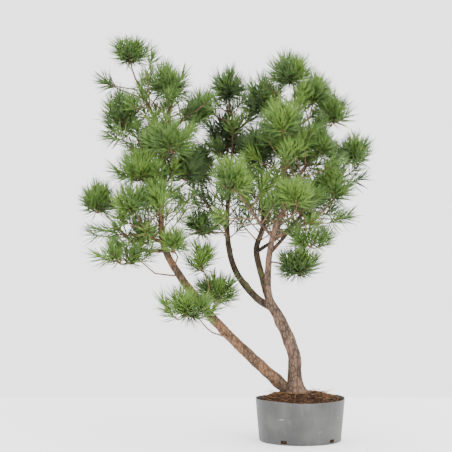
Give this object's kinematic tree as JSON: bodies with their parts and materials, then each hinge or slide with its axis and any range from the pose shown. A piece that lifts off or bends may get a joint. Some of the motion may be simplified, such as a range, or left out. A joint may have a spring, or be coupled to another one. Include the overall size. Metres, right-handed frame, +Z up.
{
  "type": "potted mugo pine",
  "caption": "Young mugo pine with leaning crooked stems, bare below and tufted with green needles above, standing in a cut-down round grey plastic pot filled with dark soil",
  "frame": {"origin": "centre of the pot's flat underside, on the surface it stands on", "axes": "+Z up, the plant's front faces -Y, and the crown leans towards -X"},
  "size_m": [0.7348, 0.3906, 1.0063],
  "materials": {
    "needles": "thin stiff green needles, satin, lighter and more yellow at the shoot tips",
    "orange_bark": "scaly orange-tan bark with grey-brown flakes",
    "pink_bark": "scaly pinkish-tan bark with grey-brown flakes",
    "dark_bark": "rough dark olive-brown bark with a little green algae",
    "pot_plastic": "thin grey plastic, dusty and scratched",
    "potting_soil": "dark brown crumbly peat"
  },
  "bodies": {
    "root": {"back_right_bough": "dark_bark", "back_stem": "dark_bark", "crown_arm": "pink_bark", "crown_shoulder": "pink_bark", "foliage_crown_arm_tip": "needles", "foliage_crown_front": "needles", "foliage_crown_left": "needles", "foliage_crown_low_left": "needles", "foliage_crown_outer": "needles", "foliage_crown_right": "needles", "foliage_crown_top": "needles", "foliage_front_tuft": "needles", "foliage_inner_spire": "needles", "foliage_leader_tip": "needles", "foliage_left_arm_front_tip": "needles", "foliage_left_arm_tip": "needles", "foliage_left_breast": "needles", "foliage_left_crook": "needles", "foliage_left_crook_front": "needles", "foliage_left_crown": "needles", "foliage_left_front": "needles", "foliage_left_inner": "needles", "foliage_left_shoulder": "needles", "foliage_left_waist": "needles", "foliage_left_whip": "needles", "foliage_low_back": "needles", "foliage_low_front": "needles", "foliage_low_twig": "needles", "foliage_middle_left_dark": "needles", "foliage_middle_left_tip": "needles", "foliage_middle_rear": "needles", "foliage_middle_spire": "needles", "foliage_reach_tip": "needles", "foliage_reach_under": "needles", "foliage_rear_crown": "needles", "foliage_rear_left": "needles", "foliage_rear_right_low": "needles", "foliage_right_low": "needles", "foliage_right_whip": "needles", "foliage_waist_front": "needles", "front_bough": "pink_bark", "left_arm": "orange_bark", "left_arm_front": "orange_bark", "left_inner_bough": "orange_bark", "left_leader": "orange_bark", "left_rear_bough": "orange_bark", "left_shoulder_bough": "orange_bark", "left_stem": "orange_bark", "middle_left_bough": "dark_bark", "middle_stem": "dark_bark", "pot": "pot_plastic", "right_low_bough": "pink_bark", "right_reach_bough": "pink_bark", "right_rear_bough": "dark_bark", "right_stem": "pink_bark", "right_upper_bough": "pink_bark", "soil": "potting_soil", "trunk": "pink_bark"}
  },
  "joints": []
}
